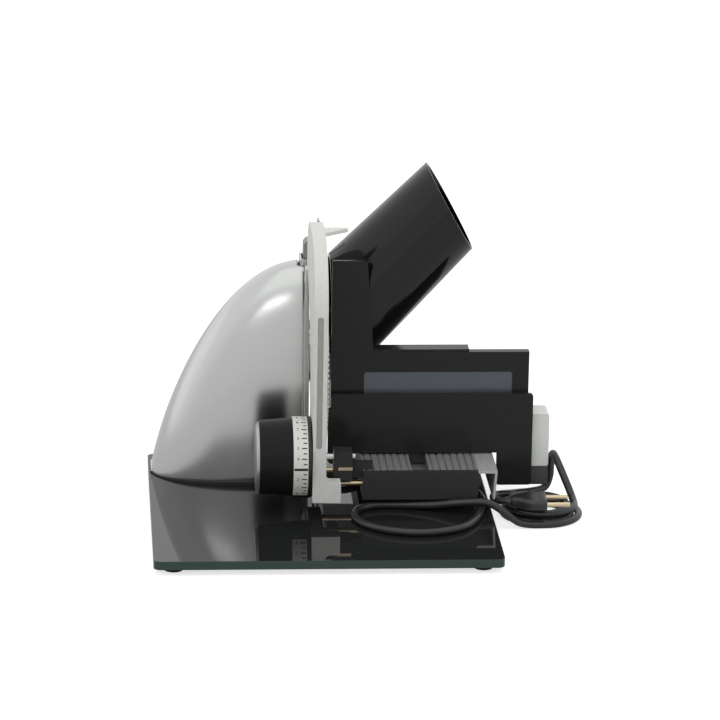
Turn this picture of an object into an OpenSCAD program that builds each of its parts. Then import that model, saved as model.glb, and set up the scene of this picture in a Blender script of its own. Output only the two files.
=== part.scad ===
// Electric food slicer on a glass base, with a sliding carriage and a lift-off
// small-food chute. Millimetres, +Z up. X runs across the machine from the motor
// dome to the carriage, Y runs away from the user, and the origin is the middle of
// the floor under the machine.

/* [Base] */
// Width of the glass base
glass_w = 277; // [260:1:300]
// Depth of the glass base, front to back
glass_d = 270; // [250:1:300]
// Thickness of the glass base
glass_t = 7; // [5:0.5:10]
// Corner radius of the glass base
glass_r = 6; // [2:1:15]
// Height of each rubber foot
foot_h = 5; // [3:0.5:8]
// Diameter of each rubber foot
foot_d = 15; // [10:1:20]
// Distance of each foot's centre from the glass edges
foot_inset = 16; // [12:1:30]

/* [Motor dome] */
// Left end of the dome from the glass's left edge
dome_x = 2; // [1:0.5:8]
// Length of the dome, from its nose to the chassis plate
dome_len = 126; // [120:1:140]
// Height of the dome at the chassis plate
dome_h = 181; // [178:0.5:183]
// Half width of the dome at the chassis plate
dome_w = 44; // [43:0.5:48]
// Middle of the dome from the glass's front edge
dome_y = 228; // [224:1:230]
// Wall of the dome
dome_wall = 2.5; // [2:0.1:3]
// Size of the dome's blunt nose
dome_nose = 8; // [6:0.5:10]
// Thickness of the chassis plate that closes the dome
chassis_t = 3; // [2.5:0.5:4]

/* [Blade] */
// Radius of the blade at its teeth
blade_r = 85; // [80:0.5:86]
// Height of the blade axis over the glass
blade_z = 95; // [93:0.5:98]
// Distance of the blade axis from the glass's front edge
blade_y = 235; // [233:0.5:237]
// Plane of the cutting edge, from the glass's left edge
blade_x = 145; // [144:0.2:145.6]
// Number of teeth on the blade
blade_teeth = 120; // [60:2:160]
// Depth of the blade's teeth
tooth_depth = 1.2; // [0.5:0.1:2]
// Diameter of the blade spindle
spindle_d = 12; // [10:0.5:14]

/* [Gear train] */
// Module of the gears
gear_m = 1; // [1:0.05:1.05]
// Teeth of the main gear on the blade spindle
main_teeth = 50; // [48:2:54]
// Teeth of the large idler gear
idler_teeth = 42; // [40:2:44]
// Teeth of both pinions
pinion_teeth = 14; // [14:1:15]
// Backlash of the gears
gear_backlash = 0.25; // [0.15:0.05:0.4]
// Height of the motor axis over the glass
motor_z = 46; // [44:1:48]
// Radius of the motor body
motor_r = 29; // [26:1:30]
// Diameter of the motor shaft
motor_shaft_d = 6; // [5:0.5:8]

/* [Stop plate] */
// Thickness of the stop plate
plate_t = 11; // [9:0.5:11]
// Slice thickness that the plate stands at
slice_set = 4.4; // [3:0.2:6]
// Front edge of the plate, from the glass's front edge
plate_y = 97; // [94:1:100]
// Back edge of the plate's arm over the blade
arm_y = 214; // [210:1:216]
// Back edge of the plate below the blade
plate_foot_y = 172; // [168:1:175]
// Underside of the plate over the glass
plate_z = 14.5; // [12:0.5:16]
// Top of the plate over the glass
plate_top = 224.5; // [220:0.5:230]
// Radius of the plate's front top corner
plate_corner = 55; // [40:1:60]
// Radius of the plate's cut-out round the blade
plate_bow = 88; // [87.5:0.5:90]
// Width of the plate's foot, to the right of the plate
plate_foot_w = 12; // [11:0.2:14]
// Height of the plate's foot
plate_foot_h = 16; // [14:0.5:17]
// Depth of the plate's foot
plate_foot_d = 15; // [12:1:18]
// Width of the groove in the plate's front edge
groove_w = 4.5; // [3:0.5:6]
// Reach of the lip over the food at the plate's top
lip_w = 19; // [15:1:22]
// Diameter of the guide rods
rod_d = 5; // [4:0.5:6]

/* [Knob] */
// Distance of the knob axis from the glass's front edge
knob_y = 125; // [122:1:126]
// Height of the knob axis over the glass
knob_z = 44.5; // [44:0.5:46]
// Radius of the knob at the scale ring
knob_r = 33; // [28:0.5:33]
// Radius of the knob at its free end
knob_end_r = 30; // [24:0.5:31]
// Length of the knob's grip
grip_len = 27; // [20:1:32]
// Length of the scale ring
scale_len = 14.5; // [10:0.5:15]
// Thickness of the knob's end cap
cap_t = 2.5; // [2:0.5:4]
// Diameter of the setting screw
screw_d = 6; // [5:0.5:8]

/* [Rail] */
// Left side of the rail from the glass's left edge
rail_x = 172; // [170:0.5:174]
// Width of the rail
rail_w = 94; // [88:1:96]
// Front end of the rail from the glass's front edge
rail_y = 120; // [118:1:122]
// Underside of the rail over the glass
rail_z = 9; // [8.5:0.5:10]
// Height of the rail
rail_h = 24; // [23:0.5:25]
// Number of grooves on each half of the rail's top
rail_grooves = 7; // [4:1:9]
// Thickness of the rail's front end cap
end_cap_t = 4; // [3:0.5:6]

/* [Carriage] */
// Front of the carriage panel from the glass's front edge
panel_y = 165; // [163:1:170]
// Left side of the carriage from the glass's left edge
panel_x = 148; // [147.6:0.2:149]
// Width of the carriage panel
panel_w = 166; // [160:1:168]
// Thickness of the carriage panel
panel_t = 4; // [3:0.5:5]
// Underside of the carriage panel over the glass
panel_z = 34; // [33.6:0.2:36]
// Top of the carriage panel over the glass
panel_top = 84.5; // [80:0.5:90]
// Width of the leg at the panel's right end
leg_w = 29; // [26:0.5:30]
// Underside of the leg over the glass
leg_z = 6; // [5:0.5:10]
// Depth of the carriage table
table_d = 96; // [90:1:98]
// Width of the grip at the carriage's right end
grip_w = 15; // [10:0.5:20]
// Depth of the grip
grip_d = 24; // [18:1:30]
// Top of the grip over the glass
grip_top = 64; // [60:1:68]

/* [Chute] */
// Height of the chute's box over the glass
box_top = 118.5; // [116:0.5:122]
// Height of the raised pad on the box
pad_h = 2; // [1.5:0.5:4]
// Depth of the flat strip along the box's front top edge
roof_flat = 8; // [6:0.5:12]
// Slope of the box's roof behind that strip
roof_slope = 24; // [20:1:26]
// Wall of the chute's box
box_wall = 3; // [2.4:0.2:4]
// Radius of the chute's tube at its root
tube_r = 42; // [38:0.5:43]
// Radius of the chute's tube at its mouth
mouth_r = 38.5; // [34:0.5:40]
// Wall of the chute's tube
tube_wall = 2.4; // [1.8:0.2:3]
// Length of the chute's tube along its axis
tube_len = 112; // [100:1:120]
// Slope of the chute's tube
tube_slope = 46; // [45:0.5:49]
// Slope of the mouth's face from upright
mouth_slope = 29; // [24:1:40]

/* [Motion] */
// How far the carriage slides away from the user
carriage_back = 90; // [60:1:95]
// Widest slice
slice_max = 18; // [12:1:18]

/* [Cord] */
// Diameter of the mains lead
cord_d = 6.2; // [6:0.1:6.4]
// Straight run of the hank's loops
hank_run = 4; // [2:1:6]

/* [Hidden] */
$fn = 64;
slack = 0.05;
gap = 0.4;
eps = 0.01;

// Where the part's own frame lies in the glass's corner frame
floor_z = -glass_t - foot_h;
shoe_y = panel_y + panel_t + 4;
shoe_len = 66;
rail_end = shoe_y + shoe_len + carriage_back + 1;
rail_len = rail_end - rail_y;
guard_r = blade_r + 10;
right_end = panel_x + panel_w + grip_w;
back_end = max(rail_end, blade_y + guard_r);
shift = [-right_end / 2, -back_end / 2, -floor_z];

// X stations of the drive
chassis_x = dome_x + dome_len;
chassis_face = chassis_x + chassis_t;
gear_plate_x = 97;
gear_plate_t = 3;
motor_x = 44;
motor_len = gear_plate_x - motor_x;
bell_t = 5;
hub_r = 20;
hub_len = 8;
bush_wall = 2.5;
stage_one_x = 103;
stage_two_x = 112;
gear_face = 6;
pinion_face = 8;
pinion_r = gear_m * pinion_teeth / 2;
idler_r = gear_m * idler_teeth / 2;
main_r = gear_m * main_teeth / 2;
motor_c = [dome_y, motor_z];
blade_c = [blade_y, blade_z];
// The idler's axis lies where both gear pairs are in mesh
reach_one = pinion_r + idler_r;
reach_two = pinion_r + main_r;
span = norm(blade_c - motor_c);
span_angle = atan2(blade_c[1] - motor_c[1], blade_c[0] - motor_c[0]);
idler_turn = acos((reach_one * reach_one + span * span - reach_two * reach_two)
    / (2 * reach_one * span));
idler_c = motor_c + reach_one * [cos(span_angle + idler_turn), sin(span_angle + idler_turn)];
to_idler = atan2(idler_c[1] - blade_c[1], idler_c[0] - blade_c[0]);
to_motor = atan2(motor_c[1] - idler_c[1], motor_c[0] - idler_c[0]);
idler_pin_d = 6;

// Stop plate and knob
plate_x = blade_x - slice_set - plate_t;
plate_right = plate_x + plate_t;
foot_top = plate_z + plate_foot_h;
foot_fillet = 4;
scale_x = plate_x - 1 - scale_len;
grip_x = scale_x - grip_len;
rod_ys = [rail_y + end_cap_t + 6, plate_foot_y - 10];
rod_z = plate_z + 6;
rod_start = plate_x + slice_set + 2;
rod_seat = 8;
// The nut block clears the plate at its closed end
nut_gap = 3;
nut_x = plate_right + slice_set + nut_gap;
nut_w = 15;
// The screw stays in its nut when the plate stands at the widest slice
thread_hold = 4;
screw_end = nut_x + thread_hold + slice_max - slice_set;
nut_z = rod_z + rod_d / 2 + 3;
nut_top = knob_z + 6;
nut_half = 8;
nut_arm_y = knob_y + 1;
nut_arm_w = 7;
nut_arm_h = rail_z + rail_h + 6 - nut_z;
nut_pad = 8;
strap_w = 11.5;
strap_h = 2.5;
strap_t = 1;
strap_z = nut_z + 9.5;

// Rail and carriage
rail_top = rail_z + rail_h;
rail_mid = rail_x + rail_w / 2;
neck_w = 14;
neck_h = 5;
tee_w = 24;
tee_h = 6;
standoff_d = 14;
standoff_inset = 18;
standoff_front = 38;
standoff_back = 30;
standoff_xs = [rail_x + standoff_inset, rail_x + rail_w - standoff_inset];
standoff_ys = [rail_y + standoff_front, glass_d - standoff_back];
screw_head_d = 9;
screw_head_h = 3;
screw_shank_d = 4;
table_z = 44;
table_t = 3;
table_top = table_z + table_t;
table_y = panel_y + panel_t;

// Chute
box_y = table_y + 3;
box_d = table_d - 6;
box_w = panel_w - 3.5;
box_z = table_top;
tube_y = box_y + box_d / 2;
tube_x = panel_x + 20;
tube_z = 150.4;
root_extra = 60;
mouth_extra = 30;
far = 100;
pad_inset = 39;
pad_w = 74;
pad_d = 14;
front_w = 34.5;
front_top = 196;
front_t = 3;
front_lean = 6;
front_corner = 2.5;
window_x = panel_x + 27;
window_w = 122;
window_z = 72.6;
window_h = 29;
window_t = 2;

// The switch sits in a notch at the top of the dome
bezel_w = 11;
bezel_x = chassis_face - 7;
bezel_d = 22;
bezel_top = dome_h + 3;
bezel_z = dome_h - 7;
bezel_y = dome_y - bezel_d / 2 + 2;
lever_t = 5;
lever_h = 19;
lever_pin_z = dome_h - 1;
lever_pin_d = 2.5;
lever_room = 1.4;
lever_x = bezel_x + bezel_w / 2;

// Cord
gland_y = 192;
gland_len = 26;
glass_cord_z = cord_d / 2 + 0.1;
floor_cord_z = floor_z + cord_d / 2 + 0.1;
gland_z = cord_d / 2 + 3.4;
gland_end = chassis_face + gland_len;
cord_sides = 8;
hank_sides = 6;
hank_step = cord_d + 0.7;
hank_r = 3 * cord_d;
hank_rows = 2;
hank_turns = 3.25;
hank_c = [318, 140];
hank_rings = 24;
plug_size = [28, 30, 12];
plug_r = 6;
// Height of the plug's middle over the hank's upper layer, on which it lies
plug_rise = cord_d / 2 + 0.6 + plug_size[2] / 2;
hank_start = [hank_c[0] - hank_run / 2 - cord_d, hank_c[1] - hank_r - hank_step * hank_rows,
    floor_cord_z];
plug_c = [hank_c[0] - 11, hank_c[1] - 22, floor_cord_z + hank_step + plug_rise];
plug_rear = plug_c - [plug_size[0] / 2, 0, 0];
// Hand-chosen points of the lead from the hank's last turn, in a loop that stands up
// beside the grip, to the plug
hank_tail = [
    [345.8, 152, 2.5], [340, 164, 16], [335, 175, 26.5], [333.6, 186, 26], [333.6, 195, 14],
    [333.4, 199, 2], [329, 197.5, floor_cord_z + 1.5], [316, 189, floor_cord_z + 1],
    [303, 177, floor_cord_z + 4], [294, 163, floor_cord_z + hank_step + 1.1], [285, 153, 1.8],
    [280.8, 142, 4.2], [280.4, 131, 5.6], [284, 122.5, 7], plug_rear - [3, 0, 0], plug_rear];
// Hand-chosen points of the lead from the gland to the hank
cord_route = [
    [gland_end, gland_y, gland_z], [gland_end + cord_d, gland_y, gland_z],
    [172, gland_y, glass_cord_z + 1], [184, 191.5, glass_cord_z], [202, 190.5, glass_cord_z],
    [222, 188, glass_cord_z], [246, 180, glass_cord_z],
    [264, 164, glass_cord_z], [271, 140, glass_cord_z], [268, 114, glass_cord_z],
    [262, 90, glass_cord_z], [248, 68, glass_cord_z], [224, 57, glass_cord_z],
    [198, 59, glass_cord_z], [176, 72, glass_cord_z], [165, 92, glass_cord_z],
    [167, 112, glass_cord_z], [182, 124, glass_cord_z], [204, 124, glass_cord_z],
    [228, 118, 5], [248, 113, 8.4], [267, 110, 10], [277, 108.6, 8.1], [288.4, 107.8, 0.5],
    [hank_start[0] - 11, hank_start[1], floor_cord_z + 2], hank_start];

// General shapes
module along_x(x, len) translate([x, 0, 0]) rotate([90, 0, 90]) linear_extrude(len) children();
module along_y(y, len) translate([0, y + len, 0]) rotate([90, 0, 0]) linear_extrude(len) children();
module rod_x(d, x, len, at) translate([x, at[0], at[1]]) rotate([0, 90, 0]) cylinder(d = d, h = len);
module rounded(size, r) {
    translate([r, 0]) square([size[0] - 2 * r, size[1]]);
    translate([0, r]) square([size[0], size[1] - 2 * r]);
    for (x = [r, size[0] - r], y = [r, size[1] - r]) translate([x, y]) circle(r);
}
module placed() translate(shift) children();

// Involute gear outline with a tooth on the +X axis of its plane
function involute(a) = tan(a) * 180 / PI - a;
function flank(r, base, half) =
    half - (r > base ? involute(acos(base / r)) : 0);
function gear_points(teeth) =
    let (pitch = gear_m * teeth / 2, base = pitch * cos(20), root = pitch - 1.25 * gear_m,
        tip = pitch + 0.85 * gear_m,
        half = 90 / teeth - gear_backlash / pitch * 90 / PI + involute(20),
        radii = [root, for (i = [0:4]) max(base, root) + (tip - max(base, root)) * i / 4])
    [for (t = [0:teeth - 1]) each concat(
        [for (r = radii) r * [cos(t * 360 / teeth - flank(r, base, half)),
            sin(t * 360 / teeth - flank(r, base, half))]],
        [for (i = [len(radii) - 1:-1:0]) let (r = radii[i])
            r * [cos(t * 360 / teeth + flank(r, base, half)),
                sin(t * 360 / teeth + flank(r, base, half))]])];
module gear(teeth, x, face, at, turn, bore)
    along_x(x, face) translate(at) difference() {
        rotate(turn) polygon(gear_points(teeth));
        circle(d = bore);
    }

// Dome: superellipse sections whose height and half width follow its profile
function dome_size(s, inset) =
    let (u = min(1 - s, 1)) [
        max((dome_w - inset) * pow(max(1 - pow(u, 4), 0), 0.5), dome_nose - inset),
        max((dome_h - inset) * pow(max(1 - pow(u, 2), 0), 0.77), dome_nose - inset)];
function dome_arch(size, steps) = [for (i = [0:steps]) let (a = 180 * i / steps) [
    size[0] * sign(cos(a)) * pow(abs(cos(a)), 0.85), size[1] * pow(sin(a), 0.85)]];
module dome_solid(inset, x0, x1, base) {
    steps = 22;
    slices = 20;
    ring = steps + 1;
    stations = [for (k = [0:slices]) pow(k / slices, 1.6)];
    points = [for (s = stations) each [for (p = dome_arch(dome_size(s, inset), steps))
        [x0 + (x1 - x0) * s, dome_y + p[0], base + p[1]]]];
    faces = concat(
        [for (k = [0:slices - 1], i = [0:steps - 1]) each [
            [k * ring + i, (k + 1) * ring + i + 1, k * ring + i + 1],
            [k * ring + i, (k + 1) * ring + i, (k + 1) * ring + i + 1]]],
        [for (k = [0:slices - 1]) each [
            [k * ring + steps, (k + 1) * ring, k * ring],
            [k * ring + steps, (k + 1) * ring + steps, (k + 1) * ring]]],
        [[for (i = [0:steps]) i]],
        [[for (i = [steps:-1:0]) slices * ring + i]]);
    polyhedron(points, faces);
}
module bezel_room(room) translate([bezel_x - room, bezel_y - room, bezel_z - room])
    cube([bezel_w + 2 * room, bezel_d + 2 * room, 40]);

// Base
module base_glass() color("DarkSlateGray") placed() difference() {
    translate([0, 0, -glass_t]) linear_extrude(glass_t) rounded([glass_w, glass_d], glass_r);
    for (p = fixing_points()) translate([p[0], p[1], -glass_t - 1])
        cylinder(d = screw_shank_d + 0.6, h = glass_t + 2);
}
function fixing_points() = concat(rail_points(), chassis_points());
function rail_points() = [for (x = standoff_xs, y = standoff_ys) [x, y]];
function chassis_points() = [for (side = [-1, 1])
    [chassis_x - chassis_foot_w / 2, dome_y + side * (chassis_foot_half - 10)]];
chassis_foot_w = 22;
chassis_foot_half = 34;
chassis_foot_t = 4;
module feet() color("DimGray") placed()
    for (x = [foot_inset, glass_w - foot_inset], y = [foot_inset, glass_d - foot_inset])
        translate([x, y, floor_z]) rotate_extrude() polygon([[0, 0], [foot_d / 2, 0],
            [foot_d / 2 - 0.8, 1.6], [foot_d / 2 - 1.6, foot_h], [0, foot_h]]);

// Chassis plate with the hub of the blade spindle and its foot inside the dome
module chassis() color("Silver") placed() difference() {
    union() {
        along_x(chassis_x, chassis_t) translate([dome_y, 0])
            polygon(dome_arch([dome_w, dome_h], 40));
        rod_x(2 * hub_r, chassis_face - eps, hub_len, blade_c);
        translate([chassis_x - chassis_foot_w, dome_y - chassis_foot_half, 0])
            cube([chassis_foot_w + eps, 2 * chassis_foot_half, chassis_foot_t]);
    }
    rod_x(spindle_d + 2 * bush_wall, chassis_x - 1, hub_len + chassis_t + 2, blade_c);
    rod_x(idler_pin_d, chassis_x - 1, chassis_t + 2, idler_c);
    rod_x(cord_d + 6, chassis_x - 1, chassis_t + 2, [gland_y, gland_z]);
    for (p = chassis_points()) translate([p[0], p[1], -1])
        cylinder(d = screw_shank_d, h = chassis_foot_t + 2);
    bezel_room(0);
}
module screw(p, len) translate([p[0], p[1], -glass_t - screw_head_h]) {
    cylinder(d = screw_head_d, h = screw_head_h);
    cylinder(d = screw_shank_d, h = len);
}
module chassis_screws() color("LightGray") placed()
    for (p = chassis_points()) screw(p, screw_head_h + glass_t + chassis_foot_t - 0.5);

// Motor dome
module motor_dome() color("Silver") placed() difference() {
    dome_solid(0, dome_x, chassis_x, 0);
    dome_solid(dome_wall, dome_x + dome_wall, chassis_x + 1, -1);
    bezel_room(gap);
}

// Gear plate on four pillars carries the motor
pillar_d = 7;
pillar_half = 29;
pillar_points = [[dome_y - pillar_half, 20], [dome_y + pillar_half, 20], [dome_y + pillar_half, 66],
    [dome_y - pillar_half, 106]];
gear_plate_half = 33;
gear_plate_z = [8, 112];
module gear_plate() color("LightGray") placed() difference() {
    along_x(gear_plate_x, gear_plate_t) translate([dome_y - gear_plate_half, gear_plate_z[0]])
        rounded([2 * gear_plate_half, gear_plate_z[1] - gear_plate_z[0]], 8);
    rod_x(spindle_d + 2 * bush_wall, gear_plate_x - 1, gear_plate_t + 2, blade_c);
    rod_x(idler_pin_d, gear_plate_x - 1, gear_plate_t + 2, idler_c);
    rod_x(motor_shaft_d + 4, gear_plate_x - 1, gear_plate_t + 2, motor_c);
}
module gear_pillars() color("Gainsboro") placed() for (p = pillar_points)
    rod_x(pillar_d, gear_plate_x + gear_plate_t, chassis_x - gear_plate_x - gear_plate_t, p);
rotor_r = 17;
module motor_stator() color("Gray") placed() difference() {
    rod_x(2 * motor_r, motor_x, motor_len, motor_c);
    rod_x(2 * rotor_r + 2, motor_x - 1, motor_len - 3, motor_c);
    rod_x(motor_shaft_d + 2 * slack, motor_x, motor_len + 1, motor_c);
}
module motor_rear_bell() color("DimGray") placed() difference() {
    rod_x(2 * motor_r, motor_x - bell_t, bell_t, motor_c);
    rod_x(motor_shaft_d + 2 * slack, motor_x - bell_t - 1, bell_t + 2, motor_c);
}
module rotor() color("Peru") placed() difference() {
    rod_x(2 * rotor_r, motor_x + 4, motor_len - 14, motor_c);
    rod_x(motor_shaft_d, motor_x, motor_len, motor_c);
}
module motor_shaft() color("LightGray") placed()
    rod_x(motor_shaft_d, motor_x - bell_t, stage_one_x + pinion_face - motor_x + bell_t, motor_c);
module motor_pinion() color("Goldenrod") placed()
    gear(pinion_teeth, stage_one_x - 1, pinion_face, motor_c,
        to_motor + 180 + 180 / pinion_teeth, motor_shaft_d);
capacitor_d = 26;
capacitor_len = 30;
capacitor_c = [dome_y - 10, gear_plate_z[1]];
module motor_capacitor() color("DarkSlateGray") placed()
    rod_x(capacitor_d, gear_plate_x - capacitor_len, capacitor_len, capacitor_c);
module idler_pin() color("LightGray") placed()
    rod_x(idler_pin_d, gear_plate_x, chassis_face - gear_plate_x, idler_c);
module idler_gear() color("Goldenrod") placed() {
    gear(idler_teeth, stage_one_x, gear_face, idler_c, to_motor, idler_pin_d + 2 * slack);
    gear(pinion_teeth, stage_one_x + gear_face - eps, stage_two_x - stage_one_x + 1, idler_c,
        to_idler + 180 + 180 / pinion_teeth, idler_pin_d + 2 * slack);
}
module main_gear() color("Goldenrod") placed()
    gear(main_teeth, stage_two_x, gear_face, blade_c, to_idler, spindle_d);
flange_d = 34;
module spindle() color("LightGray") placed() {
    rod_x(spindle_d, gear_plate_x, blade_x - blade_t - gear_plate_x, blade_c);
    rod_x(flange_d, chassis_face + hub_len + gap, blade_x - blade_t - chassis_face - hub_len - gap, blade_c);
}
module bush(x, len) difference() {
    rod_x(spindle_d + 2 * bush_wall, x, len, blade_c);
    rod_x(spindle_d + 2 * slack, x - 1, len + 2, blade_c);
}
module front_bush() color("DarkGoldenrod") placed() bush(chassis_x, chassis_t + hub_len);
module rear_bush() color("DarkGoldenrod") placed() bush(gear_plate_x, gear_plate_t + 4);

// Blade: a thin bevelled disc with pointed teeth, held by a flat cap
blade_t = 2;
edge_t = 0.6;
rim_w = 3;
bevel_w = 12;
blade_bore = 10;
blade_cap_r = 20;
function teeth_points() = [for (i = [0:2 * blade_teeth - 1])
    (blade_r - (i % 2) * tooth_depth) * [cos(i * 180 / blade_teeth), sin(i * 180 / blade_teeth)]];
module blade() color("Gainsboro") placed() difference() {
    union() {
        along_x(blade_x - edge_t, edge_t) translate(blade_c) polygon(teeth_points());
        translate([blade_x - blade_t, blade_y, blade_z]) rotate([0, 90, 0]) rotate_extrude()
            polygon([[0, 0], [blade_r - rim_w - bevel_w, 0], [blade_r - rim_w, blade_t - edge_t],
                [blade_r - rim_w, blade_t], [0, blade_t]]);
    }
    rod_x(blade_bore, blade_x - 2 * blade_t, 3 * blade_t, blade_c);
}
module blade_cap() color("LightGray") placed() {
    rod_x(blade_bore, blade_x - blade_t, blade_t, blade_c);
    translate([blade_x, blade_y, blade_z]) rotate([0, 90, 0]) rotate_extrude()
        polygon([[0, 0], [blade_cap_r, 0], [blade_cap_r - 2, 1.2], [0, 1.6]]);
}

// Fixed guard behind the blade's back edge, on posts from the chassis plate
guard_x = chassis_face + hub_len;
guard_t = 2;
post_angles = [62, 0, -50];
post_r = 28;
module guard_outline() difference() {
    circle(guard_r);
    circle(hub_r + 4);
    translate([-2 * guard_r, -2 * guard_r]) square([2 * guard_r, 4 * guard_r]);
    rotate(-66) translate([-2 * guard_r, -2 * guard_r]) square([4 * guard_r, 2 * guard_r]);
}
module blade_guard() color("Gainsboro") placed() {
    along_x(guard_x, guard_t) translate(blade_c) guard_outline();
    translate([guard_x, blade_y + 3, blade_z + guard_r - 4]) cube([guard_t, 10, 26]);
}
module guard_posts() color("Silver") placed() for (a = post_angles)
    rod_x(8, chassis_face, hub_len, blade_c + post_r * [cos(a), sin(a)]);

// Switch on top of the dome
module switch_bezel() color("DarkSlateGray") placed() difference() {
    translate([bezel_x, bezel_y, bezel_z]) cube([bezel_w, bezel_d, bezel_top - bezel_z]);
    translate([lever_x - lever_t / 2 - lever_room, bezel_y + 3, bezel_z + 1.5])
        cube([lever_t + 2 * lever_room, bezel_d - 6, 30]);
    translate([lever_x, bezel_y - 1, lever_pin_z]) rotate([-90, 0, 0])
        cylinder(d = lever_pin_d, h = bezel_d + 2);
}
module switch_pin() color("LightGray") placed()
    translate([lever_x, bezel_y, lever_pin_z]) rotate([-90, 0, 0]) cylinder(d = lever_pin_d, h = bezel_d);
module switch_lever() color("DimGray") placed() difference() {
    along_y(bezel_y + 3.5, bezel_d - 7) translate([lever_x, lever_pin_z]) {
        circle(d = lever_t);
        translate([-lever_t / 2, 0]) square([lever_t, lever_h - lever_t]);
        intersection() {
            translate([lever_t / 2, lever_h - lever_t - eps]) circle(lever_t);
            translate([-lever_t / 2, lever_h - lever_t - eps]) square(lever_t);
        }
    }
    translate([lever_x, bezel_y, lever_pin_z]) rotate([-90, 0, 0])
        cylinder(d = lever_pin_d + 2 * slack, h = bezel_d);
}

// Stop plate with its foot, groove and cut-out round the blade
module plate_outline() difference() {
    translate([plate_y, plate_z]) square([arm_y - plate_y, plate_top - plate_z]);
    translate([plate_y, plate_top - plate_corner]) difference() {
        translate([-1, 0]) square(plate_corner + 1);
        translate([plate_corner, 0]) circle(plate_corner);
    }
    translate([arm_y, plate_top]) difference() {
        translate([-30, -30]) square(31);
        translate([-30, -30]) circle(30);
    }
    translate(blade_c) circle(plate_bow);
    translate([plate_foot_y, 0]) square([arm_y, blade_z]);
}
groove_z = 62;
groove_len = 106;
groove_depth = 2;
groove_x = plate_x + plate_t / 2 - 0.6;
module groove_outline() {
    for (z = [groove_z, groove_z + groove_len]) translate([groove_x, z]) circle(d = groove_w);
    translate([groove_x - groove_w / 2, groove_z]) square([groove_w, groove_len]);
}
module stop_plate() color("Silver") placed() difference() {
    union() {
        along_x(plate_x, plate_t) plate_outline();
        along_y(plate_y, plate_foot_d) {
            translate([plate_right - eps, plate_z]) square([plate_foot_w + eps, plate_foot_h]);
            translate([plate_right - 1, foot_top - 1]) difference() {
                square(foot_fillet + 1);
                translate([foot_fillet + 1, foot_fillet + 1]) circle(foot_fillet);
            }
        }
    }
    along_y(plate_y - 1, groove_depth + 1) groove_outline();
    for (y = rod_ys) rod_x(rod_d + 2 * slack, plate_x - 1, plate_t + plate_foot_w + 2, [y, rod_z]);
    rod_x(screw_d + 2 * slack, plate_x - 1, plate_t + 2, [knob_y, knob_z]);
}
lip_back = 171;
lip_front = 153;
lip_tip = 4;
lip_t = 3;
module plate_lip() color("Silver") placed() translate([0, 0, plate_top - lip_t]) linear_extrude(lip_t)
    polygon([[plate_right, lip_front], [plate_right + lip_w, lip_back - lip_tip],
        [plate_right + lip_w, lip_back], [plate_right, lip_back]]);
module guide_rods() color("Goldenrod") placed() for (y = rod_ys)
    rod_x(rod_d, rod_start, rail_x + rod_seat - rod_start, [y, rod_z]);

// Knob, scale ring and the screw that they turn
module setting_screw() color("LightGray") placed()
    rod_x(screw_d, grip_x, screw_end - grip_x, [knob_y, knob_z]);
module knob_grip() color("Black") placed() difference() {
    translate([grip_x, knob_y, knob_z]) rotate([0, 90, 0])
        cylinder(r1 = knob_end_r, r2 = knob_r - 1, h = grip_len);
    rod_x(screw_d, grip_x - 1, grip_len + 2, [knob_y, knob_z]);
}
module knob_cap() color("Silver") placed() translate([grip_x - cap_t, knob_y, knob_z]) rotate([0, 90, 0])
    rotate_extrude() polygon([[0, 0], [knob_end_r - 3, 0], [knob_end_r - 0.8, cap_t], [0, cap_t]]);
module scale_ring() color("White") placed() difference() {
    rod_x(2 * knob_r, scale_x, scale_len, [knob_y, knob_z]);
    rod_x(screw_d, scale_x - 1, scale_len + 2, [knob_y, knob_z]);
}
module nut_block() color("DarkSlateGray") placed() difference() {
    union() {
        translate([nut_x, knob_y - nut_half, nut_z]) cube([nut_w, 2 * nut_half, nut_top - nut_z]);
        translate([nut_x, nut_arm_y, nut_z]) cube([rail_x - nut_x, nut_arm_w, nut_arm_h]);
        translate([rail_x - eps, nut_arm_y, rail_top])
            cube([nut_pad, nut_arm_w, nut_z + nut_arm_h - rail_top]);
    }
    rod_x(screw_d + 4, nut_x - 1, nut_w + 2, [knob_y, knob_z]);
}
module nut() color("Goldenrod") placed() difference() {
    rod_x(screw_d + 4, nut_x, nut_w, [knob_y, knob_z]);
    rod_x(screw_d + 2 * slack, nut_x - 1, nut_w + 2, [knob_y, knob_z]);
}
// Brass strap across the block's front
module nut_strap() color("Goldenrod") placed()
    translate([nut_x + nut_w - strap_w, knob_y - nut_half - strap_t, strap_z])
        cube([strap_w, strap_t, strap_h]);

// Rail with a tee slot, hollow sides and a grooved top
module tee(room) {
    translate([rail_mid - neck_w / 2 + room, rail_top - neck_h - 1]) square([neck_w - 2 * room, neck_h + 2]);
    translate([rail_mid - tee_w / 2 + room, rail_top - neck_h - tee_h + room])
        square([tee_w - 2 * room, tee_h - 2 * room]);
}
module rail_outline() difference() {
    translate([rail_x, rail_z]) square([rail_w, rail_h]);
    tee(0);
    for (x = [rail_x + rail_wall, rail_mid + tee_w / 2 + rail_wall]) translate([x, rail_z + rail_wall])
        square([chamber_w, rail_h - rail_wall - rail_roof]);
    for (side = [-1, 1], i = [0:rail_grooves - 1])
        translate([rail_mid + side * (neck_w / 2 + rib_inset + i * rib_step), rail_top])
            square([rib_w, 2 * rib_depth], center = true);
}
rail_wall = 4;
rail_roof = 5;
chamber_w = rail_w / 2 - tee_w / 2 - 2 * rail_wall;
rib_w = 1.6;
rib_depth = 1;
rib_inset = 3;
rib_step = (rail_w / 2 - neck_w / 2 - 2 * rib_inset) / (rail_grooves - 1);
module rail() color("Silver") placed() difference() {
    along_y(rail_y + end_cap_t, rail_len - end_cap_t) rail_outline();
    for (y = rod_ys) rod_x(rod_d, rail_x - 1, rod_seat + 1, [y, rod_z]);
    for (p = rail_points()) translate([p[0], p[1], rail_z - 1]) cylinder(d = screw_shank_d, h = 4);
}
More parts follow.
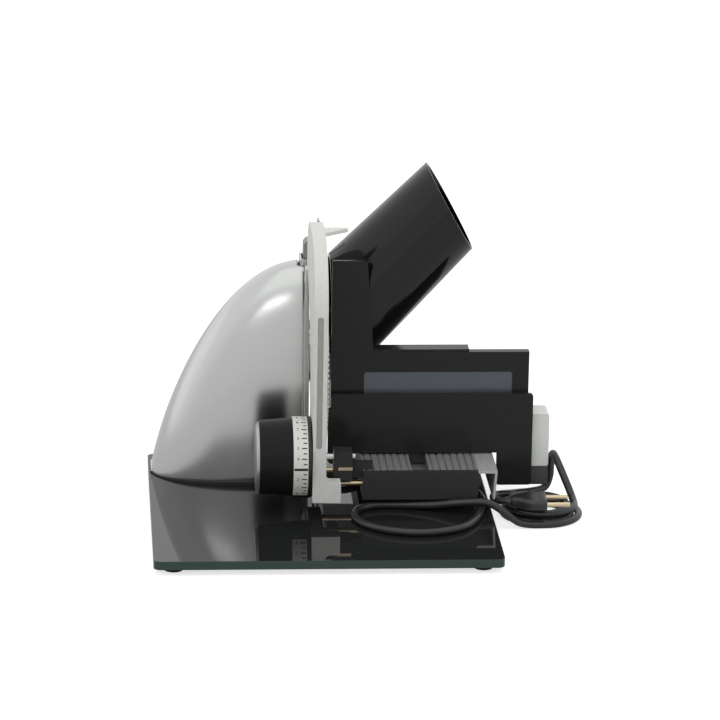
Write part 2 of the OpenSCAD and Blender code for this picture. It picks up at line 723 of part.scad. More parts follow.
module rail_end_cap() color("Black") placed()
    translate([rail_x, rail_y, rail_z]) cube([rail_w, end_cap_t, rail_h]);
// The wing ends short of the carriage's leg
leg_gap = 3.5;
wing_w = panel_x + panel_w - leg_w - leg_gap - rail_x - rail_w;
wing_slope = wing_w / 10;
wing_t = wing_w / 8;
module rail_wing() color("Gainsboro") placed() along_y(rail_y, glass_d - rail_y)
    translate([rail_x + rail_w, rail_top - 2]) polygon([[0, 0], [wing_w - wing_t, 0],
        [wing_w - wing_t - wing_slope, 2 - rail_h], [wing_w - wing_slope, 2 - rail_h],
        [wing_w, 2], [0, 2]]);
module rail_standoffs() color("DimGray") placed() difference() {
    for (p = rail_points()) translate([p[0], p[1], 0]) cylinder(d = standoff_d, h = rail_z);
    for (p = rail_points()) translate([p[0], p[1], -1]) cylinder(d = screw_shank_d + 0.6, h = rail_z + 2);
}
module rail_screws() color("LightGray") placed()
    for (p = rail_points()) screw(p, screw_head_h + glass_t + rail_z + 2.5);

// Carriage: a tee shoe in the rail, a table, the black push panel and the grip
shoe_w = 60;
module carriage_shoe() color("DimGray") placed() along_y(shoe_y, shoe_len) {
    tee(gap);
    translate([rail_mid - shoe_w / 2, rail_top + gap]) square([shoe_w, table_z - rail_top - gap]);
}
module carriage_table() color("Gainsboro") placed()
    translate([panel_x + 1, table_y, table_z]) cube([panel_w - 1, table_d, table_t]);
// The panel's left cheek passes between the blade's cap and the guide rods
panel_r = 2.5;
cheek_gap = 0.6;
cheek_lap = 7;
cheek_r = 4;
cheek_x = blade_x + cheek_gap;
cheek_z = rod_z + rod_d / 2 + 2;
cheek_top = blade_z - blade_cap_r - 2;
module carriage_panel() color("Black") placed() along_y(panel_y, panel_t) {
    translate([panel_x, panel_z]) rounded([panel_w, panel_top - panel_z], panel_r);
    translate([panel_x + panel_w - leg_w, leg_z]) rounded([leg_w, panel_top - leg_z], panel_r);
    translate([cheek_x, cheek_z]) rounded([panel_x + cheek_lap - cheek_x, cheek_top - cheek_z], cheek_r);
}
grip_y = table_y + 6;
grip_split = 19;
skid_z = 3;
module side_grip() color("WhiteSmoke") placed() along_y(grip_y, grip_d)
    translate([panel_x + panel_w, grip_split]) rounded([grip_w, grip_top - grip_split], 2);
module grip_skid() color("SlateGray") placed() translate([panel_x + panel_w, grip_y, skid_z])
    cube([grip_w, grip_d, grip_split - skid_z]);

// Chute that stands on the carriage table; its roof falls away behind a flat front strip
function roof_z(y) = box_top - max(y - box_y - roof_flat, 0) * tan(roof_slope);
module box_section(inset, base) {
    front = box_y + inset;
    back = box_y + box_d - inset;
    polygon([[front, base], [back, base], [back, roof_z(back) - inset], [box_y + roof_flat, box_top - inset],
        [front, box_top - inset]]);
}
module chute_box() color("Black") placed() difference() {
    union() {
        along_x(panel_x, box_w) box_section(0, box_z);
        translate([panel_x + pad_inset, box_y + 1, box_top - box_wall])
            cube([pad_w, pad_d, pad_h + box_wall]);
    }
    along_x(panel_x + box_wall, box_w - 2 * box_wall) box_section(box_wall, box_z - 1);
    along_y(box_y - 1, window_t + 1) translate([window_x, window_z]) rounded([window_w, window_h], 2.5);
    tube_socket();
}
module window_pane() color("LightSteelBlue") placed() along_y(box_y + 0.6, window_t - 0.6)
    translate([window_x, window_z]) rounded([window_w, window_h], 2.5);
// A cone along the chute's slope, longer at its root and mouth by the two extras
module on_slope() translate([tube_x, tube_y, tube_z]) rotate([0, 90 - tube_slope, 0]) children();
tube_taper = (tube_r - mouth_r) / tube_len;
module tube_shape(inset, root, mouth) on_slope() translate([0, 0, -root])
    cylinder(r1 = tube_r - inset + tube_taper * root, r2 = mouth_r - inset - tube_taper * mouth,
        h = tube_len + root + mouth);
// The tube ends level with the inside of the roof
module tube_socket() difference() {
    tube_shape(0, root_extra, mouth_extra);
    along_x(panel_x - 2 * far, 4 * far) polygon([[box_y - far, -far], [box_y + box_d + far, -far],
        [box_y + box_d + far, roof_z(box_y + box_d + far) - box_wall],
        [box_y + roof_flat, box_top - box_wall], [box_y - far, box_top - box_wall]]);
}
module mouth_cut() on_slope() translate([0, 0, tube_len]) rotate([0, tube_slope - mouth_slope, 0])
    translate([-far, -far, 0]) cube(2 * far);
module chute_tube() color("Black") placed() difference() {
    tube_socket();
    tube_shape(tube_wall, root_extra + 20, mouth_extra + 1);
    mouth_cut();
    translate([panel_x - 2 * far, 0, 0]) cube([2 * far, 4 * far, 4 * far]);
}
module chute_front() color("Black") placed() difference() {
    along_y(box_y, front_t) translate([panel_x, box_top]) polygon(front_points(front_top - box_top));
    tube_shape(0, root_extra, mouth_extra);
}
// Upright plate with a leaning right edge and a small chamfer at its top
function front_points(h) = [[0, 0], [front_w, 0],
    [front_w - front_lean * (h - front_corner) / h, h - front_corner],
    [front_w - front_lean - front_corner, h], [0, h]];

// Mains lead
function unit(v) = v / norm(v);
function spline(p, i, t) =
    let (a = p[max(i - 1, 0)], b = p[i], c = p[i + 1], d = p[min(i + 2, len(p) - 1)])
    0.5 * ((2 * b) + (c - a) * t + (2 * a - 5 * b + 4 * c - d) * t * t
        + (3 * b - a - 3 * c + d) * t * t * t);
function route_points(p, parts) = concat(
    [for (i = [0:len(p) - 2], k = [0:parts - 1]) spline(p, i, k / parts)], [p[len(p) - 1]]);
function tangent(p, i) = unit(p[min(i + 1, len(p) - 1)] - p[max(i - 1, 0)]);
module tube_along(p, r, sides) {
    rings = [for (i = [0:len(p) - 1]) let (t = tangent(p, i),
        side = unit(cross([0, 0, 1], t)), up = cross(t, side))
        for (k = [0:sides - 1]) p[i] + r * (cos(360 * k / sides) * side + sin(360 * k / sides) * up)];
    n = len(p);
    polyhedron(rings, concat(
        [for (i = [0:n - 2], k = [0:sides - 1]) let (m = (k + 1) % sides) each [
            [i * sides + k, (i + 1) * sides + k, (i + 1) * sides + m],
            [i * sides + k, (i + 1) * sides + m, i * sides + m]]],
        [[for (k = [0:sides - 1]) k]],
        [[for (k = [sides - 1:-1:0]) (n - 1) * sides + k]]));
}
module cord_gland() color("Black") placed() {
    rod_x(cord_d + 6, chassis_x, chassis_t, [gland_y, gland_z]);
    translate([chassis_face - eps, gland_y, gland_z]) rotate([0, 90, 0])
        cylinder(d1 = cord_d + 6, d2 = cord_d + 2.4, h = gland_len + eps);
}
module cord_run() color("Black") placed() tube_along(route_points(cord_route, 3), cord_d / 2, cord_sides);
// Hank: racetrack loops that spiral in on the floor and out again one layer higher,
// with a tail that comes round to the plug on top
function clamped(t) = min(max(t, 0), 1);
function hank_radius(turn) = hank_r + hank_step * abs(turn - hank_rows);
function hank_lift(turn) = hank_step * clamped(2 * (turn - hank_rows) + 0.5);
function track(a, r) = [(cos(a) > eps ? 1 : -1) * hank_run / 2 + r * cos(a), r * sin(a)];
hank_loops = [for (i = [0:hank_turns * hank_rings]) let (turn = i / hank_rings,
    q = track(360 * turn - 90, hank_radius(turn)))
    [hank_c[0] + q[0], hank_c[1] + q[1], floor_cord_z + hank_lift(turn)]];
tail_parts = 3;
last_loop = len(hank_loops) - 1;
tail_points = route_points(concat([hank_loops[last_loop - 1], hank_loops[last_loop]], hank_tail), tail_parts);
hank_points = concat([hank_start], hank_loops,
    [for (i = [tail_parts + 1:len(tail_points) - 1]) tail_points[i]]);
// Least gap between strands, measured between points more than half a turn apart
hank_gap = min([for (i = [0:len(hank_points) - 1], k = [i + hank_rings / 2:1:len(hank_points) - 1])
    norm(hank_points[i] - hank_points[k])]) - cord_d;
echo(hank_gap_mm = hank_gap);
function path_length(p) = [for (i = [1:len(p) - 1]) norm(p[i] - p[i - 1])] * [for (i = [1:len(p) - 1]) 1];
echo(cord_length_mm = path_length(route_points(cord_route, 3)) + path_length(hank_points));
module cord_hank() color("Black") placed() tube_along(hank_points, cord_d / 2, hank_sides);
pin_d = 4;
pin_len = 19;
pin_half = 9.3;
module plug_body() color("Black") placed() translate(plug_c - plug_size / 2)
    linear_extrude(plug_size[2]) rounded([plug_size[0], plug_size[1]], plug_r);
module plug_pins() color("Goldenrod") placed() for (side = [-1, 1])
    rod_x(pin_d, plug_c[0] + plug_size[0] / 2, pin_len, [plug_c[1] + side * pin_half, plug_c[2]]);

base_glass();
feet();
chassis();
chassis_screws();
motor_dome();
gear_plate();
gear_pillars();
motor_stator();
motor_rear_bell();
rotor();
motor_shaft();
motor_pinion();
motor_capacitor();
idler_pin();
idler_gear();
main_gear();
spindle();
front_bush();
rear_bush();
blade();
blade_cap();
blade_guard();
guard_posts();
switch_bezel();
switch_pin();
switch_lever();
stop_plate();
plate_lip();
guide_rods();
setting_screw();
knob_grip();
knob_cap();
scale_ring();
nut_block();
nut();
nut_strap();
rail();
rail_end_cap();
rail_wing();
rail_standoffs();
rail_screws();
carriage_shoe();
carriage_table();
carriage_panel();
side_grip();
grip_skid();
chute_box();
chute_tube();
chute_front();
window_pane();
cord_gland();
cord_run();
cord_hank();
plug_body();
plug_pins();
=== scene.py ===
import math

import bmesh
import bpy
from mathutils import Matrix, Vector


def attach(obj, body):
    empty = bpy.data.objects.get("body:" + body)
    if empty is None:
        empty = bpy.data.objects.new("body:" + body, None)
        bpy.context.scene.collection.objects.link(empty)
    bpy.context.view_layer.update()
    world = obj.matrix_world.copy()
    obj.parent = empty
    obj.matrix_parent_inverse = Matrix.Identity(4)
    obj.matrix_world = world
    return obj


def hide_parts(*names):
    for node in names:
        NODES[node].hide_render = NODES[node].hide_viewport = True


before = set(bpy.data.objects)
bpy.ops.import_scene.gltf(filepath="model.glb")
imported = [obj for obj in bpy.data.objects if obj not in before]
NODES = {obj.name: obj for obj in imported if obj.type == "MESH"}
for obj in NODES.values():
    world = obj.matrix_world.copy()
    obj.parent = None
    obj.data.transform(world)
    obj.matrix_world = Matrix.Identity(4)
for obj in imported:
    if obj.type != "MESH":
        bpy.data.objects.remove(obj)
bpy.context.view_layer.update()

SCENE = bpy.context.scene

# The glass's front left top corner, in millimetres of the part's frame
CORNER = (-164.5, -165.0, 12.0)


def at(x, y, z):
    """A point in metres of the part's frame, from millimetres off the glass's front left top corner."""
    return Vector(((x + CORNER[0]) / 1000, (y + CORNER[1]) / 1000, (z + CORNER[2]) / 1000))


def link(name, data):
    piece = bpy.data.objects.new(name, data)
    SCENE.collection.objects.link(piece)
    return piece


def mesh_piece(name, points, faces, smooth=True):
    """A mesh object from points in metres and faces, with outward normals."""
    mesh = bpy.data.meshes.new(name)
    mesh.from_pydata([tuple(p) for p in points], [], faces)
    work = bmesh.new()
    work.from_mesh(mesh)
    bmesh.ops.recalc_face_normals(work, faces=work.faces)
    work.to_mesh(mesh)
    work.free()
    for polygon in mesh.polygons:
        polygon.use_smooth = smooth
    return link(name, mesh)


def grid_faces(rows, columns, closed):
    """Quads between rows of points; closed joins each row's last point to its first."""
    faces = []
    for row in range(rows - 1):
        here = row * columns
        above = here + columns
        for column in range(columns if closed else columns - 1):
            after = (column + 1) % columns
            faces.append((here + column, here + after, above + after, above + column))
    return faces


def capped_faces(rows, sides):
    """Quads between closed rows of points, and a face on the first row and on the last."""
    first = tuple(range(sides))
    last = tuple(range((rows - 1) * sides, rows * sides))
    return grid_faces(rows, sides, True) + [first, last]


def signed_power(value, power):
    return math.copysign(abs(value) ** power, value)


# Camera, fitted to the photograph: angles in radians, sensor and lens in millimetres
YAW = 0.07129
PITCH = 0.29703
ROLL = 0.0172959
EYE = at(-62.15, -3099.78, 1115.97)
SENSOR = 36.0
LENS = 210.0
forward = Vector((math.sin(YAW) * math.cos(PITCH), math.cos(YAW) * math.cos(PITCH), -math.sin(PITCH)))
level_right = Vector((math.cos(YAW), -math.sin(YAW), 0.0))
level_up = level_right.cross(forward)
right = level_right * math.cos(ROLL) + level_up * math.sin(ROLL)
up = level_up * math.cos(ROLL) - level_right * math.sin(ROLL)
camera_data = bpy.data.cameras.new("camera")
camera_data.sensor_width = SENSOR
camera_data.lens = LENS
camera = link("camera", camera_data)
camera.matrix_world = Matrix((
    (right.x, up.x, -forward.x, EYE.x),
    (right.y, up.y, -forward.y, EYE.y),
    (right.z, up.z, -forward.z, EYE.z),
    (0.0, 0.0, 0.0, 1.0)))
SCENE.camera = camera
SCENE.view_settings.view_transform = "Standard"

# Mains lead: the CAD model's route and hank, in millimetres off the glass's corner
CORD_D = 6.2
CORD_SIDES = 16
CORD_CLEAR = 0.1
GLASS_Z = CORD_D / 2 + CORD_CLEAR
FLOOR_Z = -CORNER[2] + CORD_D / 2 + CORD_CLEAR
GLAND_RISE = 3.4
GLAND = (157.0, 192.0, CORD_D / 2 + GLAND_RISE)
HANK_GAP = 0.7
HANK_STEP = CORD_D + HANK_GAP
HANK_R = 3 * CORD_D
HANK_ROWS = 2
HANK_TURNS = 3.25
HANK_RUN = 4.0
HANK_C = (318.0, 140.0)
HANK_START = (HANK_C[0] - HANK_RUN / 2 - CORD_D, HANK_C[1] - HANK_R - HANK_STEP * HANK_ROWS, FLOOR_Z)
HANK_LEAD_IN = 11
# Turns in which the hank climbs from its lower layer to its upper one
CLIMB_TURNS = 0.5
# A turn's halves part where the cosine of its angle passes this value
HALVES_PART = 0.01
PLUG_LEN = 28.0
PLUG_H = 12.0
PLUG_GAP = 0.6
PLUG_RISE = CORD_D / 2 + PLUG_GAP + PLUG_H / 2
PLUG_SHIFT = (-11, -22)
PLUG_C = (HANK_C[0] + PLUG_SHIFT[0], HANK_C[1] + PLUG_SHIFT[1], FLOOR_Z + HANK_STEP + PLUG_RISE)
PLUG_REAR = (PLUG_C[0] - PLUG_LEN / 2, PLUG_C[1], PLUG_C[2])
PLUG_LEAD_IN = 3
SPLINE_PARTS = 8
TURN_PARTS = 48
ROUTE = [
    GLAND, (GLAND[0] + CORD_D, GLAND[1], GLAND[2]),
    (172, GLAND[1], GLASS_Z + 1), (184, 191.5, GLASS_Z), (202, 190.5, GLASS_Z),
    (222, 188, GLASS_Z), (246, 180, GLASS_Z),
    (264, 164, GLASS_Z), (271, 140, GLASS_Z), (268, 114, GLASS_Z),
    (262, 90, GLASS_Z), (248, 68, GLASS_Z), (224, 57, GLASS_Z),
    (198, 59, GLASS_Z), (176, 72, GLASS_Z), (165, 92, GLASS_Z),
    (167, 112, GLASS_Z), (182, 124, GLASS_Z), (204, 124, GLASS_Z),
    (228, 118, 5), (248, 113, 8.4), (267, 110, 10), (277, 108.6, 8.1), (288.4, 107.8, 0.5),
    (HANK_START[0] - HANK_LEAD_IN, HANK_START[1], FLOOR_Z + 2), HANK_START]
HANK_TAIL = [
    (345.8, 152, 2.5), (340, 164, 16), (335, 175, 26.5), (333.6, 186, 26), (333.6, 195, 14),
    (333.4, 199, 2), (329, 197.5, FLOOR_Z + 1.5), (316, 189, FLOOR_Z + 1),
    (303, 177, FLOOR_Z + 4), (294, 163, FLOOR_Z + HANK_STEP + 1.1), (285, 153, 1.8),
    (280.8, 142, 4.2), (280.4, 131, 5.6), (284, 122.5, 7),
    (PLUG_REAR[0] - PLUG_LEAD_IN, PLUG_REAR[1], PLUG_REAR[2]), PLUG_REAR]


def spline(points, i, t):
    """Catmull-Rom point between points i and i + 1."""
    a = Vector(points[max(i - 1, 0)])
    b = Vector(points[i])
    c = Vector(points[i + 1])
    d = Vector(points[min(i + 2, len(points) - 1)])
    square = 2 * a - 5 * b + 4 * c - d
    cube = 3 * b - a - 3 * c + d
    return 0.5 * (2 * b + (c - a) * t + square * t ** 2 + cube * t ** 3)


def hank_point(turn):
    """A point of the hank, whose lower layer winds inwards and whose upper one winds outwards."""
    radius = HANK_R + HANK_STEP * abs(turn - HANK_ROWS)
    angle = 2 * math.pi * turn - math.pi / 2
    side = HANK_RUN / 2 * (1 if math.cos(angle) > HALVES_PART else -1)
    climbed = min(max((turn - HANK_ROWS) / CLIMB_TURNS + 0.5, 0.0), 1.0)
    x = HANK_C[0] + side + radius * math.cos(angle)
    y = HANK_C[1] + radius * math.sin(angle)
    return Vector((x, y, FLOOR_Z + HANK_STEP * climbed))


def cord_path():
    points = [spline(ROUTE, i, k / SPLINE_PARTS) for i in range(len(ROUTE) - 1) for k in range(SPLINE_PARTS)]
    points.append(Vector(HANK_START))
    points += [hank_point(i / TURN_PARTS) for i in range(int(HANK_TURNS * TURN_PARTS) + 1)]
    tail = [points[-2], points[-1]] + HANK_TAIL
    for i in range(1, len(tail) - 1):
        points += [spline(tail, i, k / SPLINE_PARTS) for k in range(1, SPLINE_PARTS + 1)]
    return [at(*p) for p in points]


def tube(name, path, radius, sides):
    """A closed tube along a path, with rings that turn as little as they can."""
    points = []
    side = None
    for i, p in enumerate(path):
        along = (path[min(i + 1, len(path) - 1)] - path[max(i - 1, 0)]).normalized()
        if side is None:
            side = along.orthogonal().normalized()
        side = (side - along * side.dot(along)).normalized()
        other = along.cross(side)
        for k in range(sides):
            a = 2 * math.pi * k / sides
            points.append(p + radius * (math.cos(a) * side + math.sin(a) * other))
    return mesh_piece(name, points, capped_faces(len(path), sides))


path = cord_path()
lead = tube("mains_lead", path, CORD_D / 2000, CORD_SIDES)
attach(lead, "base")
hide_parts("cord_run", "cord_hank")


def loft(name, sections, sides, power):
    """A closed smooth body of superellipse sections: (centre, half width along Y, half height along Z)."""
    points = []
    for centre, wide, high in sections:
        for k in range(sides):
            a = 2 * math.pi * k / sides
            y = centre[1] + wide * signed_power(math.cos(a), power)
            z = centre[2] + high * signed_power(math.sin(a), power)
            points.append(at(centre[0], y, z))
    return mesh_piece(name, points, capped_faces(len(sections), sides))


# Plug: a waisted moulded body, drawn in at the cord and with a flat face at the pins
PLUG_SIDES = 48
PLUG_POWER = 0.6
# Places along the plug from its middle, with the half width and half height there
PLUG_STATIONS = [
    (-14, 4.2, 4.0), (-13, 4.6, 4.3), (-10, 5.4, 4.8), (-6, 8.0, 5.2), (-2, 12.0, 5.6), (2, 14.2, 5.8),
    (6, 14.6, 5.6), (9, 14.4, 5.5), (11, 14.8, 5.9), (13.2, 14.8, 5.9), (13.8, 14.3, 5.5), (14, 13.8, 5.1)]
plug_sections = [((PLUG_C[0] + x, PLUG_C[1], PLUG_C[2]), wide, high) for x, wide, high in PLUG_STATIONS]
plug = loft("plug_moulding", plug_sections, PLUG_SIDES, PLUG_POWER)
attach(plug, "base")
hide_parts("plug_body")

# Motor dome: the CAD model's superellipse sections, finely divided
DOME_X = 2.0
DOME_LEN = 126.0
DOME_END = DOME_X + DOME_LEN
DOME_H = 181.0
DOME_W = 44.0
DOME_Y = 228.0
DOME_NOSE = 8.0
DOME_WALL = 2.5
DOME_STATIONS = 72
DOME_STEPS = 120
# Above 1, the sections stand closer together towards the nose
STATION_POWER = 1.6
WIDTH_POWERS = (4, 0.5)
HEIGHT_POWERS = (2, 0.77)
ARCH_POWER = 0.85
# The hole for the switch's bezel, in the part of the dome above BEZEL_Z
BEZEL_X = (123.8, 131.2)
BEZEL_Y = (219.2, 240.8)
BEZEL_Z = 150


def dome_reach(full, powers, u):
    """Half width or height of a section; u is 1 at the dome's nose and 0 at its open end."""
    return max(full * max(1 - u ** powers[0], 0) ** powers[1], DOME_NOSE)


def dome_points(steps):
    """Points of the dome's outside in millimetres, section by section from its nose."""
    points = []
    for k in range(DOME_STATIONS + 1):
        s = (k / DOME_STATIONS) ** STATION_POWER
        wide = dome_reach(DOME_W, WIDTH_POWERS, 1 - s)
        high = dome_reach(DOME_H, HEIGHT_POWERS, 1 - s)
        for i in range(steps + 1):
            a = math.pi * i / steps
            y = DOME_Y + wide * signed_power(math.cos(a), ARCH_POWER)
            z = high * abs(math.sin(a)) ** ARCH_POWER
            points.append((DOME_X + DOME_LEN * s, y, z))
    return points


def in_bezel(x, y, z):
    return BEZEL_X[0] < x < BEZEL_X[1] and BEZEL_Y[0] < y < BEZEL_Y[1] and z > BEZEL_Z


def dome_shell():
    points = dome_points(DOME_STEPS)
    faces = []
    for face in grid_faces(DOME_STATIONS + 1, DOME_STEPS + 1, False):
        middle = [sum(points[i][axis] for i in face) / len(face) for axis in range(3)]
        if not in_bezel(*middle):
            faces.append(face)
    faces.append(tuple(range(DOME_STEPS + 1)))
    piece = mesh_piece("dome_shell", [at(*p) for p in points], faces)
    mesh = piece.data
    apex = max(mesh.polygons, key=lambda p: p.center.z)
    if apex.normal.z < 0:
        mesh.flip_normals()
    wall = piece.modifiers.new("wall", "SOLIDIFY")
    wall.thickness = DOME_WALL / 1000
    wall.offset = -1.0
    return piece


dome = dome_shell()
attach(dome, "base")
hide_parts("motor_dome")

# Painted shade at the dome's foot, a thin dark strip: how far it reaches in and out from the dome's lower
# edge, and its lower and upper height
FOOT_SHADE_REACH = 0.5
FOOT_SHADE_Z = (0.02, 1.1)


def dome_gasket():
    """Thin black rubber strip between the dome's lower edge and the glass: painted shade for the shadow line
    at the dome's foot.
    """
    foot = dome_points(1)
    outline = foot[0::2][::-1] + foot[1::2]
    low, high = FOOT_SHADE_Z
    corners = [(-FOOT_SHADE_REACH, low), (FOOT_SHADE_REACH, low), (FOOT_SHADE_REACH, high), (-FOOT_SHADE_REACH, high)]
    points = []
    for i, (x, y, _) in enumerate(outline):
        before = outline[max(i - 1, 0)]
        after = outline[min(i + 1, len(outline) - 1)]
        along = Vector((after[0] - before[0], after[1] - before[1], 0)).normalized()
        across = Vector((along.y, -along.x, 0))
        if across.dot(Vector((x - DOME_END, y - DOME_Y, 0))) < 0:
            across = -across
        for reach, z in corners:
            points.append(at(min(x + reach * across.x, DOME_END), y + reach * across.y, z))
    return mesh_piece("dome_gasket", points, capped_faces(len(outline), len(corners)), smooth=False)


foot_shade = dome_gasket()
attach(foot_shade, "base")

# Scale on the knob's ring: sizes in millimetres, margins from the ring's sides along X
RING_AXIS = (125.0, 44.5)
RING_R = 33.0
RING_X = (114.1, 125.9)
MARK_STEP = math.radians(15)
MARK_COUNT = 20
FIRST_MARK = math.radians(-45)
MARK_T = 0.12
MARK_SINK = 0.3
MARK_PARTS = 3
MARK_H = 0.9
MARK_MARGIN = 1.0
LONG_MARK = 5.2
SHORT_MARK = 3.8
# The long index mark stands in this number's place
INDEX_NUMBER = 3
INDEX_H = 2.0
INDEX_MARGINS = (0.5, 0.3)
NUMBER_SIZE = 3.9
NUMBER_NARROW = 0.8
NUMBER_SINK = 0.2
NUMBER_MARGIN = 3.6
NUMBER_RESOLUTION = 2


def on_ring(x, angle, lift):
    """A point on the ring; angle 0 faces the user and grows upwards."""
    r = RING_R + lift
    return at(x, RING_AXIS[0] - r * math.cos(angle), RING_AXIS[1] + r * math.sin(angle))


def ring_mark(points, faces, x0, x1, angle, height):
    """Adds one printed bar that follows the ring's curve."""
    half = height / RING_R / 2
    start = len(points)
    for i in range(MARK_PARTS + 1):
        a = angle - half + 2 * half * i / MARK_PARTS
        for lift in (-MARK_SINK, MARK_T):
            points += [on_ring(x0, a, lift), on_ring(x1, a, lift)]
    for i in range(MARK_PARTS):
        b = start + 4 * i
        n = b + 4
        faces += [(b, b + 1, n + 1, n), (b + 2, b + 3, n + 3, n + 2)]
        faces += [(b, b + 2, n + 2, n), (b + 1, b + 3, n + 3, n + 1)]
    for e in (start, start + 4 * MARK_PARTS):
        faces.append((e, e + 1, e + 3, e + 2))


def ring_marks():
    """A mark at each number and a shorter one between two numbers, and the index mark across the ring."""
    points = []
    faces = []
    for n in range(2 * MARK_COUNT + 1):
        if n != 2 * INDEX_NUMBER:
            reach = SHORT_MARK if n % 2 else LONG_MARK
            angle = FIRST_MARK + n * MARK_STEP / 2
            ring_mark(points, faces, RING_X[1] - reach, RING_X[1] - MARK_MARGIN, angle, MARK_H)
    ring_mark(points, faces, RING_X[0] + INDEX_MARGINS[0], RING_X[1] - INDEX_MARGINS[1], 0.0, INDEX_H)
    return mesh_piece("scale_marks", points, faces, smooth=False)


def ring_number(n):
    """One number of the scale, bent round the ring."""
    name = f"scale_number_{n}"
    text = bpy.data.curves.new(name, "FONT")
    text.body = str(n)
    text.size = NUMBER_SIZE
    text.align_x = "CENTER"
    text.align_y = "CENTER"
    text.extrude = NUMBER_SINK
    text.resolution_u = NUMBER_RESOLUTION
    flat = link(name, text)
    bpy.context.view_layer.update()
    mesh = bpy.data.meshes.new_from_object(flat.evaluated_get(bpy.context.evaluated_depsgraph_get()))
    bpy.data.objects.remove(flat)
    angle = FIRST_MARK + n * MARK_STEP
    for v in mesh.vertices:
        x = RING_X[0] + NUMBER_MARGIN + v.co.x * NUMBER_NARROW
        v.co = on_ring(x, angle + v.co.y / RING_R, MARK_T - NUMBER_SINK + v.co.z)
    mesh.name = name
    return link(name, mesh)


scale_pieces = [ring_marks()] + [ring_number(n) for n in range(MARK_COUNT + 1) if n != INDEX_NUMBER]
for piece in scale_pieces:
    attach(piece, "knob")

# Grey sheet laid in the groove of the stop plate's front edge: painted shade, so the groove reads darker
# than the plate
GROOVE_X = 134.5
GROOVE_Z = (62.0, 168.0)
GROOVE_HALF = 2.2
SHADE_SHEET_Y = (97.9, 99.0)
SHADE_SHEET_STEPS = 12


# Painted shade: a thin grey sheet just inside the groove's front, darker than the plate around it
def groove_inlay():
    outline = []
    for z, turn in ((GROOVE_Z[1], 0.0), (GROOVE_Z[0], math.pi)):
        for i in range(SHADE_SHEET_STEPS + 1):
            a = turn + math.pi * i / SHADE_SHEET_STEPS
            outline.append((GROOVE_X + GROOVE_HALF * math.cos(a), z + GROOVE_HALF * math.sin(a)))
    points = [at(x, y, z) for y in SHADE_SHEET_Y for x, z in outline]
    return mesh_piece("groove_inlay", points, capped_faces(2, len(outline)), smooth=False)


groove_shade = groove_inlay()
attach(groove_shade, "stop")

# Root of the roof's raised pad, which closes the corner between the chute's front plate and its tube
ROOT_X = (182.2, 187.2)
ROOT_OUTLINE = [
    (173.0, 118.2), (173.0, 120.1), (173.4, 120.5), (186.6, 120.5), (187.0, 120.1), (187.0, 115.2),
    (180.0, 118.2)]


def pad_root():
    points = [at(x, y, z) for x in ROOT_X for y, z in ROOT_OUTLINE]
    return mesh_piece("pad_root", points, capped_faces(2, len(ROOT_OUTLINE)), smooth=False)


root = pad_root()
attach(root, "chute")

# Materials: values that they share
IOR = 1.5
ROUGH_VARY = 0.15
FINE_DETAIL = 4.0
BROAD_SCALE = 14.0
BROAD_DETAIL = 2.0
GRAIN_RANGE = (0.25, 0.75)
POLISH_RANGE = (0.3, 0.7)
RELIEF_DEPTH = 0.0002
EDGE_SAMPLES = 4


def socket(node, name, value):
    node.inputs[name].default_value = value


def math_node(tree, operation, *values):
    """The output of a math node whose inputs are numbers or other nodes' outputs."""
    node = tree.nodes.new("ShaderNodeMath")
    node.operation = operation
    for taker, value in zip(node.inputs, values):
        if isinstance(value, (int, float)):
            taker.default_value = value
        else:
            tree.links.new(value, taker)
    return node.outputs["Value"]


def split_axes(tree, vector):
    """The X, Y and Z outputs for a vector."""
    node = tree.nodes.new("ShaderNodeSeparateXYZ")
    tree.links.new(vector, node.inputs["Vector"])
    return node.outputs


def noise_node(tree, vector, scale, detail):
    node = tree.nodes.new("ShaderNodeTexNoise")
    socket(node, "Scale", scale)
    socket(node, "Detail", detail)
    tree.links.new(vector, node.inputs["Vector"])
    return node.outputs["Fac"]


def range_node(tree, value, given, wanted, interpolation="LINEAR"):
    """A value carried over from one range to another, and kept inside it."""
    node = tree.nodes.new("ShaderNodeMapRange")
    node.interpolation_type = interpolation
    socket(node, "From Min", given[0])
    socket(node, "From Max", given[1])
    socket(node, "To Min", wanted[0])
    socket(node, "To Max", wanted[1])
    tree.links.new(value, node.inputs["Value"])
    return node.outputs["Result"]


def set_ramp(ramp, places, colors):
    for element, place, color in zip(ramp.color_ramp.elements, places, colors):
        element.position = place
        element.color = (*color, 1.0)


